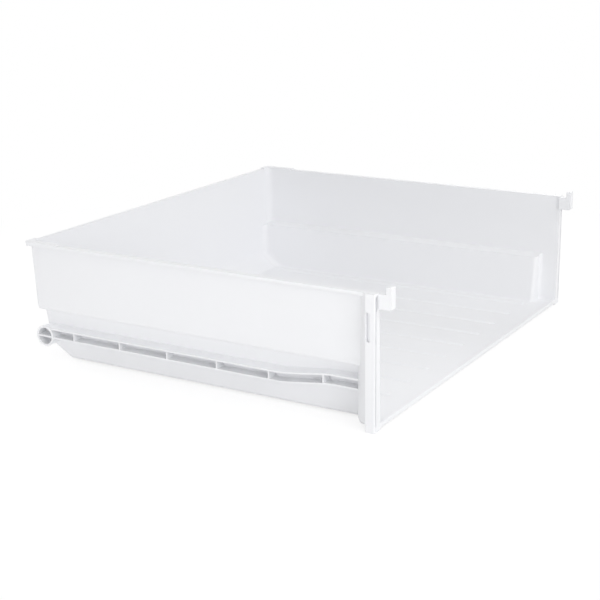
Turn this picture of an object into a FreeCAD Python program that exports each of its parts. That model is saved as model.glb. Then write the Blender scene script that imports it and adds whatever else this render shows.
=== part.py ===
import FreeCAD, Part
import math
import os
import Sketcher

doc = FreeCAD.newDocument("crisper_drawer")
sheet = doc.addObject("Spreadsheet::Sheet", "sizes")

# Every driving size, in millimetres, or degrees for the drafts.
SIZES = {
    # The tub as a whole. Y runs from the open front to the back wall, Z from the post feet up.
    "outer_width": 478,
    "depth": 412,
    "rim_height": 132,
    "wall": 2.4,
    "wall_draft": 1.1,
    "back_draft": 1.8,
    "corner_radius": 5,
    "inner_corner": 8,
    "floor_gap": 2,
    "floor_thick": 2.5,
    "base_round": 4,
    # The side walls step in below a sloping ledge, to leave room for the slide rails.
    "ledge_height": 59.5,
    "ledge_inset": 11,
    "ledge_fall": 3,
    "ledge_brow": 4,
    "lower_lean": 9,
    "recess_front": 23.5,
    "recess_brow": 6.5,
    "recess_root": 2.5,
    # The foot of the back wall slopes forward into the floor.
    "rear_slope_rise": 17,
    "rear_slope_run": 23,
    "rear_slope_round": 14,
    # The rim: a flange turned outward, with a lip turned down, and a raised pad at each rear corner.
    "lip_reach": 5,
    "back_lip_reach": 2.6,
    "flange_thick": 1.8,
    "lip_thick": 1.6,
    "lip_height": 3.3,
    "rim_corner": 4,
    "rim_round": 0.6,
    "pad_rise": 1.4,
    "pad_along_back": 16,
    "pad_along_side": 42,
    # Floor ribs: low domes with round ends.
    "rib_count": 10,
    "rib_margin": 10.8,
    "rib_radius": 5,
    "rib_height": 1.3,
    "rib_front": 31,
    "rib_rear_gap": 44,
    # The front edge of the floor is a bead.
    "bead_height": 4,
    "bead_depth": 4.5,
    "bead_round": 1,
    # The front posts stand proud of the rim, and the walls swell towards them.
    "post_proud": 2,
    "post_depth": 9.5,
    "post_flare": 7,
    "post_width": 12.5,
    "post_heel": 7.6,
    "post_round": 0.8,
    "swell": 1.5,
    "swell_rear": 46,
    # Each post has a seam line down its front, and a window for a catch of the front cover.
    "skin": 2,
    "seam_width": 1.4,
    "seam_depth": 3,
    "seam_foot": 6,
    "window_low": 87,
    "window_high": 113.7,
    "window_front": 5.1,
    "window_rear": 8.8,
    "window_deep": 2.6,
    "window_frame": 1,
    "window_return": 1.5,
    "window_proud": 0.6,
    # The hooks on the front posts, each with a gap beside its root.
    "hook_reach": 14,
    "hook_low": 117.5,
    "hook_saddle": 131.5,
    "hook_high": 138.7,
    "hook_finger": 5.2,
    "hook_thick": 8.5,
    "hook_inset": 5,
    "hook_round": 1.2,
    "gap_below": 3,
    "gap_head": 3,
    "gap_deep": 5,
    # The slide rails: a channel open to the side, stepped up near the front.
    "rail_inset": 12,
    "rail_low": 27,
    "rail_tall": 11.3,
    "rail_skin": 1.9,
    "rail_top_fall": 3,
    "rail_lift": 7,
    "lift_front": 50,
    "lift_rear": 110,
    "lift_radius": 60,
    "web_first": 60.5,
    "web_pitch": 60.2,
    "web_count": 6,
    "web_thick": 1.4,
    # The rear boss at the end of each rail.
    "boss_radius": 11.1,
    "boss_skin": 2.1,
    "boss_rear_gap": 1,
    "boss_height": 29.2,
    "boss_inset": 10.5,
    "boss_bar": 1.8,
    "boss_deep": 12,
    "boss_long": 22,
    # How far cutting volumes run past the faces they open.
    "overrun": 30,
}
# Two places nearer than this are the same; an edge lies along an axis above this share of its length.
SAME = 0.01
ALONG = 0.5
for row, (alias, value) in enumerate(SIZES.items(), start=1):
    sheet.set("A%d" % row, alias)
    sheet.set("B%d" % row, str(value))
    sheet.setAlias("B%d" % row, alias)
doc.recompute()


def mm(alias):
    return float(sheet.get(alias))


def bind(thing, path, rule):
    """Drives one property from the named sizes."""
    thing.setExpression(path, rule)


def plane(body, role):
    return [f for f in body.Origin.OriginFeatures if f.Role == role][0]


def outline(body, name, role, loops, stand_off=None):
    """A sketch of closed straight-sided loops whose corners are given as rules of the named sizes."""
    sketch = body.newObject("Sketcher::SketchObject", name)
    sketch.AttachmentSupport = (plane(body, role), [""])
    sketch.MapMode = "FlatFace"
    if stand_off:
        bind(sketch, "AttachmentOffset.Base.z", stand_off)
    rules = []
    for loop in loops:
        count = len(loop)
        first = sketch.GeometryCount
        turn = 2 * math.pi / count
        reach = FreeCAD.Vector(mm("overrun"), 0, 0)
        axis = FreeCAD.Vector(0, 0, 1)
        spots = [FreeCAD.Rotation(axis, math.degrees(i * turn)).multVec(reach) for i in range(count)]
        for i in range(count):
            sketch.addGeometry(Part.LineSegment(spots[i], spots[(i + 1) % count]))
        for i in range(count):
            sketch.addConstraint(Sketcher.Constraint("Coincident", first + i, 2, first + (i + 1) % count, 1))
        for i, (across, up) in enumerate(loop):
            spot = spots[i]
            at_x = sketch.addConstraint(Sketcher.Constraint("DistanceX", -1, 1, first + i, 1, spot.x))
            at_y = sketch.addConstraint(Sketcher.Constraint("DistanceY", -1, 1, first + i, 1, spot.y))
            rules.append((at_x, across))
            rules.append((at_y, up))
    for index, rule in rules:
        bind(sketch, "Constraints[%d]" % index, rule)
    return sketch


def mirrored(loop):
    return [("-(%s)" % across, up) for across, up in loop]


def body_named(name):
    return doc.addObject("PartDesign::Body", name)


def pad(body, sketch, name, length, reverse=False):
    feature = body.newObject("PartDesign::Pad", name)
    feature.Profile = sketch
    feature.Reversed = reverse
    bind(feature, "Length", length)
    doc.recompute()
    return feature


def pocket(body, sketch, name, length=None, reverse=False, both=False):
    feature = body.newObject("PartDesign::Pocket", name)
    feature.Profile = sketch
    feature.Reversed = reverse
    if both:
        feature.Midplane = True
    if length:
        bind(feature, "Length", length)
    else:
        feature.Type = 1
    doc.recompute()
    return feature


def round_edges(body, name, radius, wanted):
    """Rounds the edges of the body's last feature that the test picks out."""
    last = body.Tip
    picked = []
    for i, edge in enumerate(last.Shape.Edges):
        ends = [v.Point for v in edge.Vertexes]
        if len(ends) == 2 and wanted(edge.CenterOfMass, (ends[1] - ends[0]) / edge.Length):
            picked.append("Edge%d" % (i + 1))
    feature = body.newObject("PartDesign::Fillet", name)
    feature.Base = (last, picked)
    bind(feature, "Radius", radius)
    doc.recompute()
    return feature


rim_edge = "(sizes.outer_width / 2 - sizes.post_proud)"


def side_x(height, inside):
    """Half the width between the side walls at a height, so far inside their outer faces."""
    lean = "(sizes.rim_height - (%s)) * tan(sizes.wall_draft)" % height
    return "%s - sizes.lip_reach - (%s) - %s" % (rim_edge, inside, lean)


def back_y(height, inside):
    """The same for the back wall."""
    lean = "(sizes.rim_height - (%s)) * tan(sizes.back_draft)" % height
    return "sizes.depth - sizes.back_lip_reach - (%s) - %s" % (inside, lean)


def shelf(inside):
    """The foot of the ledge: its half width and its height."""
    fall = "sizes.ledge_fall"
    inset = "sizes.ledge_inset"
    tilt = "(sqrt(%s ^ 2 + %s ^ 2) - %s) / %s" % (fall, inset, fall, inset)
    across = "%s - %s" % (side_x("sizes.ledge_height", inside), inset)
    return across, "sizes.ledge_height - %s + (%s) * %s" % (fall, inside, tilt)


def lower_x(height, inside):
    """Half the width between the lower side walls at a height."""
    across, up = shelf(inside)
    lean = "sizes.lower_lean / (sizes.ledge_height - sizes.ledge_fall - sizes.floor_gap)"
    return "%s - (%s - (%s)) * %s" % (across, up, height, lean)


def tub_volume(name, inside, base, top, front, rounds):
    """The space within the tub's outer faces, or within its inner faces when set inside by the wall."""
    body = body_named(name)
    block = [(side_x(top, inside), top), (side_x(base, inside), base)]
    block = block + mirrored(reversed(block))
    sketch = outline(body, name + "_section", "XZ_Plane", [block], "-(%s)" % front)
    pad(body, sketch, name + "_block", "sizes.depth - (%s)" % front, True)

    rise = "sizes.rear_slope_rise"
    run = "sizes.rear_slope_run"
    grow = "(sqrt(%s ^ 2 + %s ^ 2) - %s) / %s" % (rise, run, rise, run)
    knee = "sizes.floor_gap + %s + (%s) * %s" % (rise, inside, grow)
    below = "sizes.floor_gap - sizes.overrun"
    toe = "%s - (%s - (%s)) * %s / %s" % (back_y(knee, inside), knee, below, run, rise)
    high = "sizes.rim_height + sizes.overrun"
    past = "sizes.depth + sizes.overrun"
    behind = [(back_y(high, inside), high), (back_y(knee, inside), knee), (toe, below), (past, below),
              (past, high)]
    sketch = outline(body, name + "_profile", "YZ_Plane", [behind])
    pocket(body, sketch, name + "_rear", "sizes.outer_width + sizes.overrun", both=True)
    rear = mm("depth") - mm("back_lip_reach") - mm("rear_slope_run") - mm("inner_corner")
    floor = body.Tip.Shape.BoundBox.ZMin
    nose = body.Tip.Shape.BoundBox.YMin

    def at_knee(spot, way):
        return abs(way.x) > ALONG and spot.y > rear and floor + SAME < spot.z < mm("rim_height") / 2

    round_edges(body, name + "_knee_round", "sizes.rear_slope_round - (%s)" % inside, at_knee)

    shelf_x, shelf_z = shelf(inside)
    past_x = "%s + sizes.overrun" % shelf_x
    past_z = "%s + sizes.overrun * sizes.ledge_fall / sizes.ledge_inset" % shelf_z
    step = [(shelf_x, shelf_z), (past_x, past_z), (past_x, below), (lower_x(below, inside), below)]
    start = "sizes.recess_front - (%s)" % inside
    sketch = outline(body, name + "_step", "XZ_Plane", [step, mirrored(step)], "-(%s)" % start)
    pocket(body, sketch, name + "_recess")
    side = mm("outer_width") / 2 - mm("post_proud") - mm("lip_reach") - mm("wall") - mm("ledge_inset") / 2

    def at_web(spot, way):
        return abs(way.z) > ALONG and SAME < spot.y - nose and spot.y < mm("swell_rear")

    def at_web_brow(spot, way):
        return at_web(spot, way) and abs(spot.x) > side

    def at_web_root(spot, way):
        return at_web(spot, way) and abs(spot.x) < side and abs(way.y) < SAME

    def at_ledge_brow(spot, way):
        level = abs(spot.z - mm("ledge_height")) < mm("ledge_inset")
        return level and abs(way.y) > ALONG and spot.y > mm("swell_rear") and abs(spot.x) > side

    def at_rear(spot, way):
        return spot.y > rear and abs(way.x) < ALONG and abs(spot.x) > mm("outer_width") / 4

    def at_floor(spot, way):
        return spot.z - floor < SAME and spot.y - nose > SAME

    picks = {"web_brow": at_web_brow, "web_root": at_web_root, "ledge_brow": at_ledge_brow,
             "rear": at_rear, "floor": at_floor}
    for edge, radius in rounds.items():
        round_edges(body, "%s_%s_round" % (name, edge), radius, picks[edge])
    return body


# Roundings in the order in which they are made: where the recess starts, the ledge, the rear, the floor.
outer_rounds = {"web_brow": "sizes.recess_brow", "web_root": "sizes.recess_root",
                "ledge_brow": "sizes.ledge_brow", "rear": "sizes.corner_radius", "floor": "sizes.base_round"}
inner_rounds = {"web_brow": "sizes.recess_brow - sizes.wall", "web_root": "sizes.recess_root + sizes.wall",
                "rear": "sizes.inner_corner", "ledge_brow": "sizes.ledge_brow - sizes.wall",
                "floor": "sizes.base_round - sizes.wall / 2"}
outer = tub_volume("outer", "0", "sizes.floor_gap", "sizes.rim_height", "0", outer_rounds)
hollow = tub_volume("hollow", "sizes.wall", "sizes.floor_gap + sizes.floor_thick",
                    "sizes.rim_height + sizes.overrun", "-sizes.overrun", inner_rounds)


def rounded_plate(name, half_x, front, rear, low, high):
    """A flat plate with its two rear corners rounded, and its upper edge there too."""
    body = body_named(name)
    plan = [("-(%s)" % half_x, front), (half_x, front), (half_x, rear), ("-(%s)" % half_x, rear)]
    sketch = outline(body, name + "_plan", "XY_Plane", [plan], low)
    pad(body, sketch, name + "_plate", "(%s) - (%s)" % (high, low))
    middle = body.Tip.Shape.BoundBox.Center.y
    nose = body.Tip.Shape.BoundBox.YMin
    upper = body.Tip.Shape.BoundBox.ZMax
    round_edges(body, name + "_corners", "sizes.rim_corner",
                lambda spot, way: abs(way.z) > ALONG and spot.y > middle)
    round_edges(body, name + "_edge", "sizes.rim_round",
                lambda spot, way: upper - spot.z < SAME and spot.y - nose > SAME)
    return body


def boolean(kind, name, base, tool):
    thing = doc.addObject(kind, name)
    thing.Base = base
    thing.Tool = tool
    doc.recompute()
    return thing


def union(name, things):
    thing = doc.addObject("Part::MultiFuse", name)
    thing.Shapes = things
    doc.recompute()
    return thing


def other_side(name, thing):
    """The same detail on the left side."""
    twin = doc.addObject("Part::Mirroring", name)
    twin.Source = thing
    twin.Normal = FreeCAD.Vector(1, 0, 0)
    doc.recompute()
    return twin


def box(name, corner, extent):
    """A plain block from its corner nearest the origin's left, front and foot."""
    thing = doc.addObject("Part::Box", name)
    for axis, rule in zip("xyz", corner):
        bind(thing, "Placement.Base." + axis, rule)
    for side, rule in zip(("Length", "Width", "Height"), extent):
        bind(thing, side, rule)
    return thing


# The rim is a plate hollowed from below along the sides, so that a lip hangs from its outer edge.
rim_band = rounded_plate("rim_band", rim_edge, "0", "sizes.depth", "sizes.rim_height - sizes.lip_height",
                         "sizes.rim_height")
under_edge = "(%s - sizes.lip_thick)" % rim_edge
rim_under = box("rim_under", ("-" + under_edge, "-sizes.overrun",
                              "sizes.rim_height - sizes.flange_thick - sizes.overrun"),
                ("2 * " + under_edge, "sizes.depth + sizes.overrun - sizes.back_lip_reach - sizes.wall / 2",
                 "sizes.overrun"))
rim = boolean("Part::Cut", "rim", rim_band, rim_under)

# The pads at the rear corners are the two ends of a plate on the rim.
pad_plate = rounded_plate("pad_plate", rim_edge, "sizes.depth - sizes.pad_along_side", "sizes.depth",
                          "sizes.rim_height - sizes.flange_thick / 2", "sizes.rim_height + sizes.pad_rise")
pad_reach = "(%s - sizes.pad_along_back)" % rim_edge
pad_gap = box("pad_gap", ("-" + pad_reach, "0", "0"),
              ("2 * " + pad_reach, "sizes.depth + sizes.overrun", "sizes.rim_height + sizes.overrun"))
pads = boolean("Part::Cut", "pads", pad_plate, pad_gap)

# The posts stand out at the front corners; behind, they slope back to the walls.
post = body_named("post")
face = "sizes.outer_width / 2"
back = "(sizes.post_depth + sizes.post_flare)"
post_root = "%s - sizes.post_width" % face
plan = [(post_root, "0"), (face, "0"), (face, "sizes.post_depth"),
        ("%s - sizes.lip_reach + sizes.swell" % rim_edge, back), (post_root, "%s + sizes.post_flare" % back)]
sketch = outline(post, "post_plan", "XY_Plane", [plan])
pad(post, sketch, "post_column", "sizes.rim_height")
round_edges(post, "post_round", "sizes.post_round",
            lambda spot, way: abs(way.z) > ALONG and mm("outer_width") / 2 - spot.x < SAME)
heel = [("sizes.post_depth", "-sizes.overrun"), ("%s + sizes.overrun" % back, "-sizes.overrun"),
        ("%s + sizes.overrun" % back, "sizes.post_heel"), ("sizes.post_depth", "sizes.post_heel")]
sketch = outline(post, "heel_profile", "YZ_Plane", [heel])
pocket(post, sketch, "post_heel", "2 * sizes.outer_width", both=True)

# The window, with a raised frame round its rear end.
frame_front = "sizes.window_rear - sizes.window_return"
frame_rear = "sizes.window_rear + sizes.window_frame"
frame_low = "sizes.window_low - sizes.window_frame"
frame_high = "sizes.window_high + sizes.window_frame"
frame = [(frame_front, frame_low), (frame_rear, frame_low), (frame_rear, frame_high),
         (frame_front, frame_high)]
sketch = outline(post, "frame_profile", "YZ_Plane", [frame], "%s - sizes.skin" % face)
pad(post, sketch, "window_frame", "sizes.skin + sizes.window_proud")
window = [("sizes.window_front", "sizes.window_low"), ("sizes.window_rear", "sizes.window_low"),
          ("sizes.window_rear", "sizes.window_high"), ("sizes.window_front", "sizes.window_high")]
sketch = outline(post, "window_profile", "YZ_Plane", [window], "%s - sizes.window_deep" % face)
pocket(post, sketch, "window", "sizes.window_deep + sizes.overrun", True)

# The seam line down the front, and the gap beside the root of the hook.
skin_x = "%s - sizes.skin" % face
gap_foot = "sizes.hook_low - sizes.gap_below"
seam_x = "%s - sizes.seam_width" % skin_x
seam = [(seam_x, "sizes.seam_foot"), (skin_x, "sizes.seam_foot"), (skin_x, gap_foot), (seam_x, gap_foot)]
sketch = outline(post, "seam_section", "XZ_Plane", [seam])
pocket(post, sketch, "seam", "sizes.seam_depth")
hook_side = "%s - sizes.hook_inset" % face
gap_top = "sizes.rim_height - sizes.gap_head"
gap = [(hook_side, gap_foot), (skin_x, gap_foot), (skin_x, gap_top), (hook_side, gap_top)]
sketch = outline(post, "gap_section", "XZ_Plane", [gap])
pocket(post, sketch, "hook_gap", "sizes.gap_deep")


def swell_section(body, name, height):
    """Plan of the wall's swelling at a height: an arc that leaves the wall smoothly and ends at the post."""
    sketch = body.newObject("Sketcher::SketchObject", name)
    sketch.AttachmentSupport = (plane(body, "XY_Plane"), [""])
    sketch.MapMode = "FlatFace"
    bind(sketch, "AttachmentOffset.Base.z", height)
    wall = mm("outer_width") / 2 - mm("post_proud") - mm("lip_reach")
    deep = wall - mm("wall") / 2
    rear = mm("swell_rear")
    front = mm("post_depth") + mm("post_flare")
    run = rear - front
    radius = (mm("swell") ** 2 + run ** 2) / (2 * mm("swell"))
    middle = Part.Circle(FreeCAD.Vector(wall + radius, rear, 0), FreeCAD.Vector(0, 0, 1), radius)
    corners = [(wall + mm("swell"), front), (deep, front), (deep, rear), (wall, rear)]
    corners = [FreeCAD.Vector(across, along, 0) for across, along in corners]
    sketch.addGeometry(Part.ArcOfCircle(middle, math.pi, math.pi + math.asin(run / radius)))
    for start, end in zip(corners, corners[1:]):
        sketch.addGeometry(Part.LineSegment(start, end))
    for constraint in (Sketcher.Constraint("Coincident", 0, 2, 1, 1),
                       Sketcher.Constraint("Coincident", 1, 2, 2, 1),
                       Sketcher.Constraint("Coincident", 2, 2, 3, 1),
                       Sketcher.Constraint("Coincident", 3, 2, 0, 1),
                       Sketcher.Constraint("Horizontal", 1),
                       Sketcher.Constraint("Vertical", 2),
                       Sketcher.Constraint("Horizontal", 3),
                       Sketcher.Constraint("PointOnObject", 0, 3, 3)):
        sketch.addConstraint(constraint)
    wall_x = side_x(height, "0")
    rules = [(Sketcher.Constraint("DistanceX", -1, 1, 0, 1, wall), wall_x),
             (Sketcher.Constraint("DistanceY", -1, 1, 0, 1, rear), "sizes.swell_rear"),
             (Sketcher.Constraint("DistanceX", -1, 1, 1, 1, corners[0].x), "%s + sizes.swell" % wall_x),
             (Sketcher.Constraint("DistanceY", -1, 1, 1, 1, front), back),
             (Sketcher.Constraint("DistanceX", -1, 1, 2, 1, deep), side_x(height, "sizes.wall / 2"))]
    for constraint, rule in rules:
        bind(sketch, "Constraints[%d]" % sketch.addConstraint(constraint), rule)
    doc.recompute()
    return sketch


# The wall swells gently towards each post.
swelling = body_named("swelling")
swell_top = swell_section(swelling, "swell_top", "sizes.rim_height - sizes.flange_thick / 2")
swell_foot = swell_section(swelling, "swell_foot", "sizes.ledge_height + sizes.ledge_brow")
swell_loft = swelling.newObject("PartDesign::AdditiveLoft", "swell_loft")
swell_loft.Profile = swell_foot
swell_loft.Sections = [swell_top]
swell_loft.Ruled = True
doc.recompute()

# The hooks that carry the front cover.
hook = body_named("hook")
tip = "-sizes.hook_reach"
inner = "sizes.hook_finger - sizes.hook_reach"
shape = [("0", "sizes.hook_low"), (tip, "sizes.hook_low"), (tip, "sizes.hook_high"),
         (inner, "sizes.hook_high"), (inner, "sizes.hook_saddle"), ("0", "sizes.hook_saddle")]
sketch = outline(hook, "hook_profile", "YZ_Plane", [shape], "%s - sizes.hook_thick" % hook_side)
pad(hook, sketch, "hook_block", "sizes.hook_thick")
round_edges(hook, "hook_round", "sizes.hook_round",
            lambda spot, way: abs(way.x) > ALONG and spot.y < mm("hook_finger") - mm("hook_reach") + SAME)


# Each slide rail follows a path that steps up near the front and ends on the axis of the rear boss.
boss_y = "sizes.depth - sizes.boss_rear_gap - sizes.boss_radius"


def rail_path(body, name):
    """The path: level, an arc up, a straight rise, an arc back and level again."""
    sketch = body.newObject("Sketcher::SketchObject", name)
    sketch.AttachmentSupport = (plane(body, "YZ_Plane"), [""])
    sketch.MapMode = "FlatFace"
    front = FreeCAD.Vector(mm("post_depth") / 2, mm("rail_lift"), 0)
    rear = FreeCAD.Vector(mm("depth") - mm("boss_rear_gap") - mm("boss_radius"), 0, 0)
    run = mm("lift_rear") - mm("lift_front")
    lift = mm("rail_lift")
    radius = mm("lift_radius")
    slope = math.atan2(lift, run)
    settle = len(SIZES)
    for step in range(settle):
        slope = math.atan2(lift, run - 2 * radius * math.tan(slope / 2))
    bend_front = FreeCAD.Vector(mm("lift_front"), lift - radius, 0)
    bend_rear = FreeCAD.Vector(mm("lift_rear"), radius, 0)
    lean = FreeCAD.Vector(math.sin(slope), math.cos(slope), 0) * radius
    up = FreeCAD.Vector(0, radius, 0)
    turn = math.pi / 2
    high = Part.ArcOfCircle(Part.Circle(bend_front, FreeCAD.Vector(0, 0, 1), radius), turn - slope, turn)
    foot = 3 * turn
    low = Part.ArcOfCircle(Part.Circle(bend_rear, FreeCAD.Vector(0, 0, 1), radius), foot - slope, foot)
    sketch.addGeometry(Part.LineSegment(front, bend_front + up))
    sketch.addGeometry(high)
    sketch.addGeometry(Part.LineSegment(bend_front + lean, bend_rear - lean))
    sketch.addGeometry(low)
    sketch.addGeometry(Part.LineSegment(bend_rear - up, rear))
    sketch.addConstraint(Sketcher.Constraint("Tangent", 0, 2, 1, 2))
    sketch.addConstraint(Sketcher.Constraint("Tangent", 1, 1, 2, 1))
    sketch.addConstraint(Sketcher.Constraint("Tangent", 2, 2, 3, 1))
    sketch.addConstraint(Sketcher.Constraint("Tangent", 3, 2, 4, 1))
    sketch.addConstraint(Sketcher.Constraint("Horizontal", 0))
    sketch.addConstraint(Sketcher.Constraint("Horizontal", 4))
    sketch.addConstraint(Sketcher.Constraint("Equal", 1, 3))
    rules = [(Sketcher.Constraint("Radius", 1, radius), "sizes.lift_radius"),
             (Sketcher.Constraint("DistanceX", -1, 1, 0, 1, front.x), "sizes.post_depth / 2"),
             (Sketcher.Constraint("DistanceY", -1, 1, 0, 1, front.y), "sizes.rail_lift"),
             (Sketcher.Constraint("DistanceX", -1, 1, 0, 2, bend_front.x), "sizes.lift_front"),
             (Sketcher.Constraint("DistanceX", -1, 1, 4, 1, bend_rear.x), "sizes.lift_rear"),
             (Sketcher.Constraint("DistanceY", -1, 1, 4, 2, rear.y), "0"),
             (Sketcher.Constraint("DistanceX", -1, 1, 4, 2, rear.x), boss_y)]
    for constraint, rule in rules:
        bind(sketch, "Constraints[%d]" % sketch.addConstraint(constraint), rule)
    doc.recompute()
    return sketch


def rail_run(name, section):
    """A section carried along the rail path without turning."""
    body = body_named(name)
    spine = rail_path(body, name + "_path")
    sketch = outline(body, name + "_section", "XZ_Plane", [section], "-(sizes.post_depth / 2)")
    sweep = body.newObject("PartDesign::AdditivePipe", name + "_sweep")
    sweep.Profile = sketch
    sweep.Spine = (spine, ["Edge%d" % (i + 1) for i in range(len(spine.Shape.Edges))])
    sweep.Mode = "Fixed"
    doc.recompute()
    return body


edge = "(sizes.outer_width / 2 - sizes.rail_inset)"
root = "%s - sizes.ledge_inset - sizes.lower_lean - sizes.overrun / 2" % edge
low = "sizes.rail_low + sizes.rail_lift"
high = "%s + sizes.rail_tall" % low
climb = "sizes.rail_top_fall / (sizes.ledge_inset + sizes.lower_lean / 3) * (%s - (%s))" % (edge, root)
top_root = "%s + %s" % (high, climb)
channel = [(root, low), (edge, low), (edge, "%s + sizes.rail_skin" % low),
           (root, "%s + sizes.rail_skin" % low)]
lower_flange = rail_run("lower_flange", channel)
upper = [(root, "%s - sizes.rail_skin" % top_root), (edge, "%s - sizes.rail_skin" % high), (edge, high),
         (root, top_root)]
upper_flange = rail_run("upper_flange", upper)
core = [(root, low), (edge, low), (edge, high), (root, top_root)]
rail_core = rail_run("rail_core", core)


def sideways_round(name, radius, start, length):
    """A cylinder on the boss axis."""
    thing = doc.addObject("Part::Cylinder", name)
    thing.Placement.Rotation = FreeCAD.Rotation(FreeCAD.Vector(0, 1, 0), 90)
    bind(thing, "Radius", radius)
    bind(thing, "Height", length)
    bind(thing, "Placement.Base.x", start)
    bind(thing, "Placement.Base.y", boss_y)
    bind(thing, "Placement.Base.z", "sizes.boss_height")
    return thing


# Upright webs cross the channel at an even pitch.
webs = []
for i in range(int(mm("web_count"))):
    at = "sizes.web_first + %d * sizes.web_pitch - sizes.web_thick / 2" % i
    extent = ("%s - (%s)" % (edge, root), "sizes.web_thick", "sizes.rim_height")
    webs.append(box("web_%d" % (i + 1), (root, at, "0"), extent))
web_stack = union("web_stack", webs)
rail_webs = boolean("Part::Common", "rail_webs", rail_core, web_stack)

# The boss closes the rear end of the channel: a ring with a bar across it.
boss_edge = "sizes.outer_width / 2 - sizes.boss_inset"
boss_root = "%s - sizes.boss_long" % boss_edge
boss_stub = sideways_round("boss_stub", "sizes.boss_radius", boss_root, "sizes.boss_long")
rail_solid = union("rail_solid", [lower_flange, upper_flange, rail_webs, boss_stub])
bore = "sizes.boss_radius - sizes.boss_skin"
boss_bore = sideways_round("boss_bore", bore, "%s - sizes.boss_deep" % boss_edge,
                           "sizes.boss_deep + sizes.overrun")
rail_open = boolean("Part::Cut", "rail_open", rail_solid, boss_bore)
bar_front = "%s - sizes.boss_radius + sizes.boss_skin / 2" % boss_y
bar = box("boss_bar", (boss_root, bar_front, "sizes.boss_height - sizes.boss_bar / 2"),
          ("sizes.boss_long", "2 * sizes.boss_radius - sizes.boss_skin", "sizes.boss_bar"))
right_rail = union("right_rail", [rail_open, bar])

# Everything that the tub's hollow cuts back to its inner faces.
sides = [outer, rim, pads]
for name, detail in (("post", post), ("swelling", swelling), ("rail", right_rail)):
    sides.append(detail)
    sides.append(other_side("left_" + name, detail))
solid_tub = union("solid_tub", sides)
open_tub = boolean("Part::Cut", "open_tub", solid_tub, hollow)

# The ribs are the tops of long round-ended bars sunk in the floor.
ribs = body_named("ribs")
ribs.AllowCompound = True
sketch = ribs.newObject("Sketcher::SketchObject", "rib_profile")
sketch.AttachmentSupport = (plane(ribs, "XY_Plane"), [""])
sketch.MapMode = "FlatFace"
floor_top = "(sizes.floor_gap + sizes.floor_thick)"
outer_rib = "%s - sizes.rib_margin" % lower_x(floor_top, "sizes.wall")
bind(sketch, "AttachmentOffset.Base.x", "-(%s)" % outer_rib)
bind(sketch, "AttachmentOffset.Base.z", "%s + sizes.rib_height - sizes.rib_radius" % floor_top)
radius = mm("rib_radius")
front = mm("rib_front")
rear = mm("depth") - mm("rib_rear_gap")
along = FreeCAD.Vector(0, 0, 1)
axis_line = Part.LineSegment(FreeCAD.Vector(0, front - radius, 0), FreeCAD.Vector(0, rear + radius, 0))
side_line = Part.LineSegment(FreeCAD.Vector(radius, rear, 0), FreeCAD.Vector(radius, front, 0))
quarter = math.pi / 2
rear_end = Part.ArcOfCircle(Part.Circle(FreeCAD.Vector(0, rear, 0), along, radius), 0, quarter)
full = 4 * quarter
front_end = Part.ArcOfCircle(Part.Circle(FreeCAD.Vector(0, front, 0), along, radius), full - quarter, full)
for line in (axis_line, side_line, rear_end, front_end):
    sketch.addGeometry(line)
for constraint in (Sketcher.Constraint("Coincident", 0, 2, 2, 2),
                   Sketcher.Constraint("Coincident", 0, 1, 3, 1),
                   Sketcher.Constraint("Tangent", 2, 1, 1, 1),
                   Sketcher.Constraint("Tangent", 3, 2, 1, 2),
                   Sketcher.Constraint("PointOnObject", 2, 3, 0),
                   Sketcher.Constraint("PointOnObject", 3, 3, 0),
                   Sketcher.Constraint("PointOnObject", 0, 1, -2),
                   Sketcher.Constraint("PointOnObject", 0, 2, -2)):
    sketch.addConstraint(constraint)
rear_rule = "sizes.depth - sizes.rib_rear_gap"
for constraint, rule in ((Sketcher.Constraint("Radius", 2, radius), "sizes.rib_radius"),
                         (Sketcher.Constraint("DistanceY", -1, 1, 3, 3, front), "sizes.rib_front"),
                         (Sketcher.Constraint("DistanceY", -1, 1, 2, 3, rear), rear_rule)):
    bind(sketch, "Constraints[%d]" % sketch.addConstraint(constraint), rule)
doc.recompute()
turned = ribs.newObject("PartDesign::Revolution", "rib_bar")
turned.Profile = sketch
turned.ReferenceAxis = (sketch, ["V_Axis"])
turned.Angle = 360
doc.recompute()
row = ribs.newObject("PartDesign::LinearPattern", "rib_row")
row.Originals = [turned]
row.Direction = (sketch, ["H_Axis"])
bind(row, "Length", "2 * (%s)" % outer_rib)
bind(row, "Occurrences", "sizes.rib_count")
ribs.Tip = row
doc.recompute()
rib_slab = box("rib_slab", ("-sizes.outer_width / 2", "0", "%s - sizes.floor_thick / 2" % floor_top),
               ("sizes.outer_width", "sizes.depth", "sizes.overrun"))
rib_tops = boolean("Part::Common", "rib_tops", ribs, rib_slab)

# The bead along the front edge of the floor.
bead = body_named("bead")
bead_top = "sizes.floor_gap + sizes.bead_height"
section = [("0", "sizes.floor_gap"), ("sizes.bead_depth", "sizes.floor_gap"), ("sizes.bead_depth", bead_top),
           ("0", bead_top)]
sketch = outline(bead, "bead_section", "YZ_Plane", [section])
feature = pad(bead, sketch, "bead_bar", "2 * (%s - sizes.lip_reach - sizes.wall)" % rim_edge)
feature.Midplane = True
doc.recompute()
round_edges(bead, "bead_round", "sizes.bead_round",
            lambda spot, way: abs(way.x) > ALONG and spot.z > mm("floor_gap") + mm("bead_height") / 2)

drawer = union("crisper_drawer", [open_tub, rib_tops, bead, hook, other_side("left_hook", hook)])
drawer.Refine = True
bind(drawer, "Placement.Base.y", "(sizes.hook_reach - sizes.depth) / 2")
doc.recompute()

for thing in doc.Objects:
    if "Invalid" in thing.State or "Error" in thing.State:
        raise RuntimeError("%s is in state %s" % (thing.Label, thing.State))
    if thing.isDerivedFrom("Part::Feature") and (thing.Shape.isNull() or not thing.Shape.isValid()):
        raise RuntimeError("%s has no valid shape" % thing.Label)

os.makedirs("parts", exist_ok=True)
drawer.Shape.exportStep("parts/crisper_drawer.step")
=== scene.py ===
import math

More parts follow.
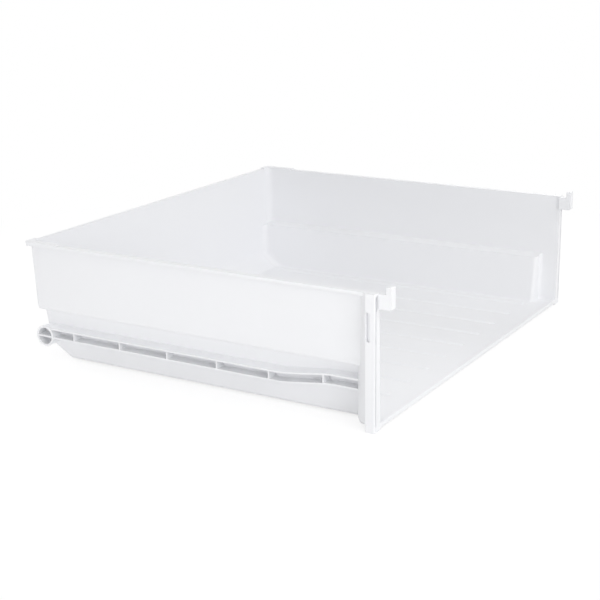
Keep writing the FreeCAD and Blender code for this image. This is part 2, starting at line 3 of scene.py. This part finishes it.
import bpy
from mathutils import Matrix, Vector

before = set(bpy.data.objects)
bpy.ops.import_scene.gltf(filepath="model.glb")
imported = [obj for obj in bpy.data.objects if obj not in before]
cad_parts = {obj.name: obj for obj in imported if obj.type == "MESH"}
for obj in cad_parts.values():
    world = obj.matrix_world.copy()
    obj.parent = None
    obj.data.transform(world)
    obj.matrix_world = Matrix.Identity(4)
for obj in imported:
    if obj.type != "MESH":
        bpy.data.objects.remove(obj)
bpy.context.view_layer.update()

# The photograph's viewpoint, in degrees and metres, and the lens as a share of the frame's width.
AZIMUTH = -58.908
ELEVATION = 16.447
ROLL = -0.853
EYE = Vector((-1.21695, -0.71191, 0.45373))
SENSOR_MM = 36.0
FOCAL_PER_FRAME = 2.17266
SIGHT_END = 100.0

# White moulded plastic: its colour across the flow of the melt, and a lighter colour along the edges as a
# painted highlight.
PLASTIC_LOW = (0.912, 0.917, 0.937)
PLASTIC_HIGH = (0.922, 0.927, 0.945)
PLASTIC_EDGE_HIGHLIGHT = (0.932, 0.936, 0.950)
PLASTIC_IOR = 1.49
ROUGH_LOW = 0.34
ROUGH_HIGH = 0.50
ROUGH_EDGE = 0.32
# Edges are softened over this radius, in metres. They get the full painted edge highlight and the smoothest
# roughness where the softened normal has turned so far that its cosine to the face's own falls to EDGE_TURN.
EDGE_RADIUS = 0.0005
EDGE_SAMPLES = 6
EDGE_TURN = 0.75
# Noises per metre: the flow's tint, the mould's fine grain, and streaks drawn from front to back.
EVEN = (1, 1, 1)
FLOW_SCALE = 7.0
FLOW_DETAIL = 3.0
GRAIN_SCALE = 900.0
GRAIN_DETAIL = 2.0
STREAK_STRETCH = (30, 3, 30)
STREAK_SCALE = 4.0
STREAK_DETAIL = 2.0
# The part of a noise's range, and of two noises added up, that carries the change of colour or roughness.
TINT_LOW = 0.3
TINT_HIGH = 0.7
GLOSS_LOW = 0.6
GLOSS_HIGH = 1.4
BUMP_STRENGTH = 0.06
BUMP_HEIGHT = 0.0002

# A light tent around the drawer, where 1 renders a colour as it is written: its brightest direction, and
# the cosine from that direction at which it is dark.
TENT_BRIGHT = 0.91
TENT_TOWARDS = (-0.22, -0.38, 0.88)
TENT_EDGE = -0.41
SEEN_WHITE = 1.0
# The floor's grey as it throws light back, and what is seen of it: white, less a faint shadow that fades
# out with the distance from the drawer's middle, in metres.
FLOOR_COLOUR = 0.94
FLOOR_SHADE = 0.30
FLOOR_LIFT = 0.76
FLOOR_HALF = 30.0
FADE_START = 0.33
FADE_END = 0.75

# Round softboxes, most of them aimed at the drawer's middle: name, place, aim and diameter in metres, and
# power in watts.
MIDDLE = (0, 0, 0.05)
SOFTBOXES = [
    ("left_softbox", (-1.05, 0.04, 0.08), (-0.23, 0.04, 0.06), 0.14, 1.05),
    ("front_left_softbox", (-0.78, -1.26, 0.44), MIDDLE, 0.6, 4.1),
    ("front_softbox", (-0.20, -1.40, 1.30), (0, 0.10, 0.05), 0.9, 2.6),
    ("right_softbox", (1.90, 0.20, 0.90), MIDDLE, 1.2, 5),
    ("rear_softbox", (0.30, 2.10, 0.80), MIDDLE, 1.2, 14),
]


def add_object(name, data):
    """A new object, linked to the scene."""
    thing = bpy.data.objects.new(name, data)
    bpy.context.scene.collection.objects.link(thing)
    return thing


def set_camera():
    """The camera at the photograph's viewpoint, turned by azimuth and elevation and then rolled."""
    azimuth = math.radians(AZIMUTH)
    elevation = math.radians(ELEVATION)
    roll = math.radians(ROLL)
    back = Vector((math.sin(azimuth) * math.cos(elevation), -math.cos(azimuth) * math.cos(elevation),
                   math.sin(elevation)))
    level = Vector((math.cos(azimuth), math.sin(azimuth), 0))
    upright = back.cross(level)
    right = level * math.cos(roll) + upright * math.sin(roll)
    up = upright * math.cos(roll) - level * math.sin(roll)
    data = bpy.data.cameras.new("camera")
    data.sensor_width = SENSOR_MM
    data.lens = SENSOR_MM * FOCAL_PER_FRAME
    data.clip_end = SIGHT_END
    camera = add_object("camera", data)
    camera.matrix_world = Matrix.Translation(EYE) @ Matrix((right, up, back)).transposed().to_4x4()
    bpy.context.scene.camera = camera


def new_material(name):
    """A new material, with its nodes, its links and its main shader."""
    material = bpy.data.materials.new(name)
    material.use_nodes = True
    nodes = material.node_tree.nodes
    return material, nodes, material.node_tree.links, nodes["Principled BSDF"]


def noise(nodes, links, place, stretch, scale, detail):
    """A noise texture on the object's own coordinates, stretched along its axes."""
    mapping = nodes.new("ShaderNodeMapping")
    mapping.inputs["Scale"].default_value = stretch
    links.new(place.outputs["Object"], mapping.inputs["Vector"])
    texture = nodes.new("ShaderNodeTexNoise")
    texture.inputs["Scale"].default_value = scale
    texture.inputs["Detail"].default_value = detail
    links.new(mapping.outputs["Vector"], texture.inputs["Vector"])
    return texture.outputs["Fac"]


def edge_amount(nodes, links, soft):
    """Zero on the faces, rising to one along the edges that the softened normal rounds over."""
    surface = nodes.new("ShaderNodeNewGeometry")
    agree = nodes.new("ShaderNodeVectorMath")
    agree.operation = "DOT_PRODUCT"
    links.new(surface.outputs["Normal"], agree.inputs[0])
    links.new(soft.outputs["Normal"], agree.inputs[1])
    amount = nodes.new("ShaderNodeMapRange")
    amount.inputs["From Min"].default_value = 1.0
    amount.inputs["From Max"].default_value = EDGE_TURN
    links.new(agree.outputs["Value"], amount.inputs["Value"])
    return amount.outputs["Result"]


def ramp(nodes, links, amount, low, high):
    """Two colours, blended over the middle of a noise's range."""
    blend = nodes.new("ShaderNodeValToRGB")
    stops = blend.color_ramp.elements
    for stop, position, colour in zip(stops, (TINT_LOW, TINT_HIGH), (low, high)):
        stop.position = position
        stop.color = (*colour, 1)
    links.new(amount, blend.inputs["Fac"])
    return blend.outputs["Color"]


def white_plastic():
    """Satin white moulding: faint flow tint, drawn streaks, fine grain, edges rubbed a little smooth, and a
    painted edge highlight.
    """
    material, nodes, links, shader = new_material("white_plastic")
    shader.inputs["IOR"].default_value = PLASTIC_IOR
    place = nodes.new("ShaderNodeTexCoord")
    soft = nodes.new("ShaderNodeBevel")
    soft.samples = EDGE_SAMPLES
    soft.inputs["Radius"].default_value = EDGE_RADIUS
    edges = edge_amount(nodes, links, soft)

    flow = noise(nodes, links, place, EVEN, FLOW_SCALE, FLOW_DETAIL)
    tint = ramp(nodes, links, flow, PLASTIC_LOW, PLASTIC_HIGH)
    # Painted highlight: the tint is lightened towards PLASTIC_EDGE_HIGHLIGHT along the edges.
    colour = nodes.new("ShaderNodeMix")
    colour.data_type = "RGBA"
    colour.inputs["B"].default_value = (*PLASTIC_EDGE_HIGHLIGHT, 1)
    links.new(edges, colour.inputs["Factor"])
    links.new(tint, colour.inputs["A"])
    links.new(colour.outputs["Result"], shader.inputs["Base Color"])

    grain = noise(nodes, links, place, EVEN, GRAIN_SCALE, GRAIN_DETAIL)
    streaks = noise(nodes, links, place, STREAK_STRETCH, STREAK_SCALE, STREAK_DETAIL)
    mixed = nodes.new("ShaderNodeMath")
    mixed.operation = "ADD"
    links.new(grain, mixed.inputs[0])
    links.new(streaks, mixed.inputs[1])
    gloss = nodes.new("ShaderNodeMapRange")
    gloss.inputs["From Min"].default_value = GLOSS_LOW
    gloss.inputs["From Max"].default_value = GLOSS_HIGH
    gloss.inputs["To Min"].default_value = ROUGH_LOW
    gloss.inputs["To Max"].default_value = ROUGH_HIGH
    links.new(mixed.outputs["Value"], gloss.inputs["Value"])
    rubbed = nodes.new("ShaderNodeMix")
    rubbed.inputs["B"].default_value = ROUGH_EDGE
    links.new(edges, rubbed.inputs["Factor"])
    links.new(gloss.outputs["Result"], rubbed.inputs["A"])
    links.new(rubbed.outputs["Result"], shader.inputs["Roughness"])

    bump = nodes.new("ShaderNodeBump")
    bump.inputs["Strength"].default_value = BUMP_STRENGTH
    bump.inputs["Distance"].default_value = BUMP_HEIGHT
    links.new(grain, bump.inputs["Height"])
    links.new(soft.outputs["Normal"], bump.inputs["Normal"])
    links.new(bump.outputs["Normal"], shader.inputs["Normal"])
    return material


def background_rays(nodes, links):
    """One where a ray shows the background itself: to the eye, in a gloss or through glass."""
    rays = nodes.new("ShaderNodeLightPath")
    seen = rays.outputs["Is Camera Ray"]
    for other in ("Is Glossy Ray", "Is Transmission Ray"):
        either = nodes.new("ShaderNodeMath")
        either.operation = "MAXIMUM"
        links.new(seen, either.inputs[0])
        links.new(rays.outputs[other], either.inputs[1])
        seen = either.outputs["Value"]
    return seen


def make_matte(shader, grey):
    """Turns a shader into a dull grey with no gloss."""
    shader.inputs["Base Color"].default_value = (grey, grey, grey, 1)
    shader.inputs["Roughness"].default_value = 1.0
    shader.inputs["Specular IOR Level"].default_value = 0.0


def mix_shaders(nodes, links, amount, first, second):
    """The first shader where the amount is zero, and the second where it is one."""
    choice = nodes.new("ShaderNodeMixShader")
    links.new(amount, choice.inputs["Fac"])
    links.new(first, choice.inputs[1])
    links.new(second, choice.inputs[2])
    return choice.outputs["Shader"]


def pale_floor():
    """A matte floor for the light, which the eye sees lifted to white, with the drawer's shadow."""
    material, nodes, links, shader = new_material("pale_floor")
    make_matte(shader, FLOOR_COLOUR)
    near = nodes.new("ShaderNodeBsdfPrincipled")
    make_matte(near, FLOOR_SHADE)
    near.inputs["Emission Color"].default_value = (1, 1, 1, 1)
    near.inputs["Emission Strength"].default_value = FLOOR_LIFT
    far = nodes.new("ShaderNodeEmission")
    place = nodes.new("ShaderNodeTexCoord")
    distance = nodes.new("ShaderNodeVectorMath")
    distance.operation = "LENGTH"
    links.new(place.outputs["Object"], distance.inputs[0])
    fade = nodes.new("ShaderNodeMapRange")
    fade.interpolation_type = "SMOOTHSTEP"
    fade.inputs["From Min"].default_value = FADE_START
    fade.inputs["From Max"].default_value = FADE_END
    links.new(distance.outputs["Value"], fade.inputs["Value"])
    ground = mix_shaders(nodes, links, fade.outputs["Result"], near.outputs["BSDF"], far.outputs["Emission"])
    surface = mix_shaders(nodes, links, background_rays(nodes, links), shader.outputs["BSDF"], ground)
    links.new(surface, nodes["Material Output"].inputs["Surface"])
    return material


def set_floor():
    """A plain pale floor that runs out of sight."""
    mesh = bpy.data.meshes.new("floor")
    corners = [(x * FLOOR_HALF, y * FLOOR_HALF, 0) for x, y in ((-1, -1), (1, -1), (1, 1), (-1, 1))]
    mesh.from_pydata(corners, [], [(0, 1, 2, 3)])
    floor = add_object("floor", mesh)
    floor.data.materials.append(pale_floor())


def set_world():
    """A light tent, brightest overhead and to the front left, white where it is seen."""
    world = bpy.data.worlds.new("studio")
    world.use_nodes = True
    bpy.context.scene.world = world
    nodes = world.node_tree.nodes
    links = world.node_tree.links
    place = nodes.new("ShaderNodeTexCoord")
    facing = nodes.new("ShaderNodeVectorMath")
    facing.operation = "DOT_PRODUCT"
    facing.inputs[1].default_value = Vector(TENT_TOWARDS).normalized()
    links.new(place.outputs["Generated"], facing.inputs[0])
    tent = nodes.new("ShaderNodeMapRange")
    tent.inputs["From Min"].default_value = TENT_EDGE
    tent.inputs["To Max"].default_value = TENT_BRIGHT
    links.new(facing.outputs["Value"], tent.inputs["Value"])
    level = nodes.new("ShaderNodeMapRange")
    level.inputs["To Max"].default_value = SEEN_WHITE
    links.new(tent.outputs["Result"], level.inputs["To Min"])
    links.new(background_rays(nodes, links), level.inputs["Value"])
    links.new(level.outputs["Result"], nodes["Background"].inputs["Strength"])
    nodes["Background"].inputs["Color"].default_value = (1, 1, 1, 1)


def softbox(name, place, aim, size, power):
    """A round soft lamp that the camera doesn't see."""
    data = bpy.data.lights.new(name, "AREA")
    data.shape = "DISK"
    data.size = size
    data.energy = power
    light = add_object(name, data)
    light.location = place
    light.visible_camera = False
    light.rotation_euler = (Vector(aim) - Vector(place)).to_track_quat("-Z", "Y").to_euler()


set_camera()
set_floor()
set_world()
for lamp in SOFTBOXES:
    softbox(*lamp)
plastic = white_plastic()
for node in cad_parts.values():
    node.data.materials.clear()
    node.data.materials.append(plastic)

bpy.context.scene.view_settings.view_transform = "Standard"
